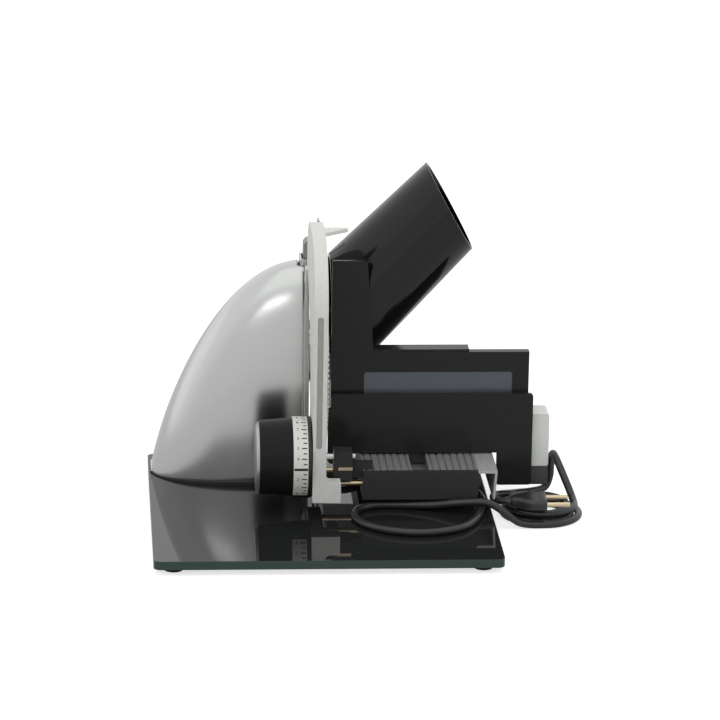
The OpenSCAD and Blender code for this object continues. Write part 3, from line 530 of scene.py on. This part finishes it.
def material(name, color, rough, metallic=0.0, grain=900.0, stretch=(1, 1, 1), vary=0.08, bump=0.03,
             edge=0.0004, shine=0.5):
    """A procedural surface: grain in its colour, roughness and relief, and softened edges."""
    surface = bpy.data.materials.new(name)
    surface.use_nodes = True
    tree = surface.node_tree
    shader = tree.nodes["Principled BSDF"]
    socket(shader, "Metallic", metallic)
    socket(shader, "IOR", IOR)
    socket(shader, "Specular IOR Level", shine)
    place = tree.nodes.new("ShaderNodeTexCoord").outputs["Object"]
    mapping = tree.nodes.new("ShaderNodeMapping")
    socket(mapping, "Scale", stretch)
    tree.links.new(place, mapping.inputs["Vector"])
    fine = noise_node(tree, mapping.outputs["Vector"], grain, FINE_DETAIL)
    broad = noise_node(tree, place, BROAD_SCALE, BROAD_DETAIL)
    tint = tree.nodes.new("ShaderNodeValToRGB")
    darker = [c * (1 - vary) for c in color]
    paler = [min(c * (1 + vary), 1.0) for c in color]
    set_ramp(tint, GRAIN_RANGE, (darker, paler))
    tree.links.new(fine, tint.inputs["Fac"])
    tree.links.new(tint.outputs["Color"], shader.inputs["Base Color"])
    polish = range_node(tree, broad, POLISH_RANGE, (rough * (1 - ROUGH_VARY), rough * (1 + ROUGH_VARY)))
    tree.links.new(polish, shader.inputs["Roughness"])
    relief = tree.nodes.new("ShaderNodeBump")
    socket(relief, "Strength", bump)
    socket(relief, "Distance", RELIEF_DEPTH)
    tree.links.new(fine, relief.inputs["Height"])
    if edge:
        soften = tree.nodes.new("ShaderNodeBevel")
        soften.samples = EDGE_SAMPLES
        socket(soften, "Radius", edge)
        tree.links.new(soften.outputs["Normal"], relief.inputs["Normal"])
    tree.links.new(relief.outputs["Normal"], shader.inputs["Normal"])
    return surface


GLASS_FACE = (0.016, 0.017, 0.017)
GLASS_EDGE = (0.018, 0.045, 0.036)
# How far a face of the glass looks up or down where it has its edge's colour, and its own
GLASS_TURN = (0.3, 0.9)


def dark_glass():
    """Near black glass with a green tint that shows on its edges."""
    surface = material("dark_glass", GLASS_FACE, 0.02, grain=60.0, bump=0.0, edge=0.0009)
    tree = surface.node_tree
    normal = split_axes(tree, tree.nodes["Texture Coordinate"].outputs["Normal"])
    tint = tree.nodes["Color Ramp"]
    set_ramp(tint, GLASS_TURN, (GLASS_EDGE, GLASS_FACE))
    tree.links.new(math_node(tree, "ABSOLUTE", normal["Z"]), tint.inputs["Fac"])
    return surface


INK_BLACK = (0.012, 0.012, 0.013)
# The band's two ends below the ring, as angles that start at the user and grow upwards
BAND_ENDS = (math.radians(-51), math.radians(-99))


def ring_surface():
    """White printed band that ends before the ring's underside, on black plastic."""
    surface = material("scale_band", (0.73, 0.73, 0.69), 0.42, grain=1500.0, vary=0.04, bump=0.02)
    tree = surface.node_tree
    place = split_axes(tree, tree.nodes["Texture Coordinate"].outputs["Object"])
    axis = at(RING_X[1], RING_AXIS[0], RING_AXIS[1])
    front = math_node(tree, "SUBTRACT", axis.y, place["Y"])
    above = math_node(tree, "SUBTRACT", place["Z"], axis.z)
    angle = math_node(tree, "ARCTAN2", above, front)
    low = math_node(tree, "LESS_THAN", angle, BAND_ENDS[0])
    high = math_node(tree, "GREATER_THAN", angle, BAND_ENDS[1])
    under = math_node(tree, "MULTIPLY", low, high)
    past = math_node(tree, "GREATER_THAN", place["X"], axis.x)
    dark = math_node(tree, "MAXIMUM", under, past)
    mix = tree.nodes.new("ShaderNodeMix")
    mix.data_type = "RGBA"
    tree.links.new(dark, mix.inputs["Factor"])
    tree.links.new(tree.nodes["Color Ramp"].outputs["Color"], mix.inputs["A"])
    socket(mix, "B", (*INK_BLACK, 1.0))
    tree.links.new(mix.outputs["Result"], tree.nodes["Principled BSDF"].inputs["Base Color"])
    return surface


GLASS = dark_glass()
SILVER = material("satin_silver", (0.58, 0.59, 0.58), 0.23, metallic=1.0, grain=2600.0, vary=0.05, bump=0.05)
ALUMINIUM = material("anodised_aluminium", (0.70, 0.70, 0.67), 0.5, metallic=0.1, grain=700.0,
                     stretch=(1, 1, 0.15), vary=0.07, bump=0.06)
RAIL_METAL = material("rail_aluminium", (0.50, 0.50, 0.50), 0.45, metallic=0.3, grain=800.0,
                      stretch=(1, 0.05, 1), vary=0.1, bump=0.06)
RAIL_DARK = material("rail_dark", (0.3, 0.3, 0.3), 0.45, metallic=0.3, grain=800.0, stretch=(1, 0.05, 1),
                     vary=0.12, bump=0.06)
STEEL = material("plain_steel", (0.55, 0.55, 0.56), 0.30, metallic=1.0, grain=1200.0, stretch=(0.1, 1, 1))
CORE = material("core_steel", (0.12, 0.11, 0.10), 0.55, metallic=0.6, grain=500.0, vary=0.2, bump=0.1)
BLADE = material("blade_steel", (0.72, 0.72, 0.73), 0.18, metallic=1.0, grain=700.0, stretch=(1, 0.3, 1),
                 vary=0.05)
BRASS = material("pale_brass", (0.68, 0.57, 0.38), 0.3, metallic=1.0, grain=900.0, stretch=(0.1, 1, 1))
NYLON = material("gear_nylon", (0.72, 0.68, 0.56), 0.5, grain=600.0, bump=0.05)
GLOSS_BLACK = material("gloss_black", (0.022, 0.022, 0.022), 0.16, grain=1800.0, vary=0.15, bump=0.015,
                       edge=0.0006, shine=0.15)
TUBE_BLACK = material("chute_black", (0.005, 0.005, 0.0055), 0.1, grain=1800.0, vary=0.15, bump=0.02,
                      edge=0.0006, shine=0.4)
SATIN_BLACK = material("satin_black", (0.036, 0.036, 0.036), 0.36, grain=1600.0, vary=0.15, bump=0.05,
                       edge=0.0006, shine=0.2)
RUBBER = material("black_rubber", (0.014, 0.014, 0.014), 0.6, grain=1200.0, vary=0.2, bump=0.1)
CORD = material("cord_sheath", (0.022, 0.022, 0.022), 0.28, grain=1600.0, vary=0.2, bump=0.05, edge=0.0,
                shine=0.55)
GREY = material("grey_plastic", (0.075, 0.082, 0.088), 0.45, grain=1400.0, vary=0.1, bump=0.05)
KNOB = material("knob_black", (0.012, 0.012, 0.012), 0.32, grain=1600.0, vary=0.15, bump=0.05, edge=0.0006,
                shine=0.12)
KNOB_CAP = material("knob_cap_grey", (0.44, 0.44, 0.44), 0.3, metallic=0.8, grain=1200.0, vary=0.06,
                    bump=0.03)
# Painted shade for the stop plate's groove
GROOVE_SHADE = material("groove_painted_shade_grey", (0.36, 0.36, 0.34), 0.55, grain=900.0, stretch=(1, 1, 0.2), vary=0.1,
                  bump=0.05)
SWITCH = material("switch_grey", (0.26, 0.27, 0.25), 0.45, grain=1400.0, vary=0.08, bump=0.04)
PALE = material("pale_plastic", (0.83, 0.86, 0.80), 0.4, grain=1400.0, vary=0.04, bump=0.03, edge=0.0008)
WINDOW = material("smoked_window", (0.085, 0.097, 0.112), 0.3, grain=900.0, vary=0.05, bump=0.01)
RING = ring_surface()
INK = material("printed_ink", INK_BLACK, 0.5, grain=2000.0, vary=0.2, bump=0.0, edge=0.0)

NODES_OF = [
    (GLASS, ["base_glass"]),
    (SILVER, ["chassis", "motor_rear_bell", "guard_posts", "switch_bezel", "switch_pin"]),
    (ALUMINIUM, ["stop_plate", "plate_lip", "carriage_table"]),
    (RAIL_METAL, ["rail_wing"]),
    (RAIL_DARK, ["rail"]),
    (STEEL, ["chassis_screws", "gear_plate", "gear_pillars", "motor_shaft", "motor_pinion", "idler_pin",
             "spindle", "blade_guard", "setting_screw", "rail_screws"]),
    (CORE, ["motor_stator", "rotor"]),
    (BLADE, ["blade", "blade_cap"]),
    (BRASS, ["front_bush", "rear_bush", "guide_rods", "nut", "nut_strap", "plug_pins"]),
    (NYLON, ["idler_gear", "main_gear"]),
    (GLOSS_BLACK, ["carriage_panel", "chute_box", "chute_front"]),
    (TUBE_BLACK, ["chute_tube"]),
    (SATIN_BLACK, ["nut_block", "rail_end_cap", "rail_standoffs"]),
    (RUBBER, ["feet", "cord_gland"]),
    (GREY, ["motor_capacitor", "carriage_shoe", "grip_skid"]),
    (KNOB, ["knob_grip"]),
    (KNOB_CAP, ["knob_cap"]),
    (SWITCH, ["switch_lever"]),
    (PALE, ["side_grip"]),
    (WINDOW, ["window_pane"]),
    (RING, ["scale_ring"])]


def dress(piece, surface):
    piece.data.materials.clear()
    piece.data.materials.append(surface)


for surface, names in NODES_OF:
    for name in names:
        for slot in NODES[name].material_slots:
            slot.material = surface
dress(dome, SILVER)
# Black rubber on the strip at the dome's foot is painted shade for its shadow line
dress(foot_shade, RUBBER)
dress(groove_shade, GROOVE_SHADE)
dress(root, GLOSS_BLACK)
dress(lead, CORD)
dress(plug, CORD)
for piece in scale_pieces:
    dress(piece, INK)

# Floor, in metres, and how far it is lifted to white for the camera and, as a share of that, in reflections
FLOOR_HALF = 30
FLOOR_LIFT = 0.7
MIRROR_SHARE = 0.12
FLOOR_CORNERS = [(-1, -1), (1, -1), (1, 1), (-1, 1)]
floor_mesh = bpy.data.meshes.new("floor")
floor_mesh.from_pydata([(FLOOR_HALF * x, FLOOR_HALF * y, 0) for x, y in FLOOR_CORNERS], [], [(0, 1, 2, 3)])
floor = link("floor", floor_mesh)
dress(floor, material("pale_floor", (0.6, 0.6, 0.6), 0.9, grain=3.0, vary=0.01, bump=0.0, edge=0.0,
                      shine=0.0))


def lift_floor(surface):
    """Lifts the floor to white for the camera, and a little in reflections, and keeps its soft shadows."""
    tree = surface.node_tree
    rays = tree.nodes.new("ShaderNodeLightPath").outputs
    seen = math_node(tree, "MULTIPLY_ADD", rays["Is Glossy Ray"], MIRROR_SHARE, rays["Is Camera Ray"])
    glow = tree.nodes.new("ShaderNodeEmission")
    tree.links.new(math_node(tree, "MULTIPLY", seen, FLOOR_LIFT), glow.inputs["Strength"])
    both = tree.nodes.new("ShaderNodeAddShader")
    tree.links.new(tree.nodes["Principled BSDF"].outputs["BSDF"], both.inputs[0])
    tree.links.new(glow.outputs["Emission"], both.inputs[1])
    tree.links.new(both.outputs["Shader"], tree.nodes["Material Output"].inputs["Surface"])


lift_floor(floor.data.materials[0])


# Light
def softbox(name, place, target, size, energy):
    """A rectangular lamp at a place in metres that faces its target."""
    data = bpy.data.lights.new(name, "AREA")
    data.shape = "RECTANGLE"
    data.size, data.size_y = size
    data.energy = energy
    lamp = link(name, data)
    lamp.location = place
    lamp.rotation_euler = (Vector(target) - Vector(place)).to_track_quat("-Z", "Y").to_euler()


softbox("top_softbox", place=(-0.2, -0.6, 2.2), target=(0, 0, 0), size=(2.4, 2.4), energy=4.6)
softbox("left_softbox", place=(-2.3, 0.9, 0.4), target=(0, 0, 0.1), size=(1.6, 1.6), energy=1.2)
softbox("front_softbox", place=(-0.85, -2.5, 1.65), target=(0, 0, 0.1), size=(0.9, 0.25), energy=2.4)

# The studio is palest above and behind the part, and a little darker in front of it
HEIGHT_SHARE = 0.6
ROOM_RANGE = (-0.6, 0.0)
ROOM_LIGHT = (0.78, 0.95)
# Polished surfaces see the backdrop as white as the camera does
BACKDROP_RANGE = (0.3, 0.7)
BACKDROP_LIFT = (0.0, 0.05)
world = bpy.data.worlds.new("studio")
world.use_nodes = True
SCENE.world = world
sky = world.node_tree
background = sky.nodes["Background"]
direction = split_axes(sky, sky.nodes.new("ShaderNodeTexCoord").outputs["Generated"])
behind = math_node(sky, "MULTIPLY_ADD", direction["Z"], HEIGHT_SHARE, direction["Y"])
room = range_node(sky, behind, ROOM_RANGE, ROOM_LIGHT, "SMOOTHSTEP")
backdrop = range_node(sky, direction["Y"], BACKDROP_RANGE, BACKDROP_LIFT, "SMOOTHSTEP")
rays = sky.nodes.new("ShaderNodeLightPath").outputs
mirrored = math_node(sky, "MULTIPLY_ADD", rays["Is Glossy Ray"], backdrop, room)
seen = math_node(sky, "MAXIMUM", rays["Is Camera Ray"], mirrored)
sky.links.new(seen, background.inputs["Strength"])
socket(background, "Color", (1.0, 1.0, 1.0, 1.0))

bpy.context.view_layer.update()
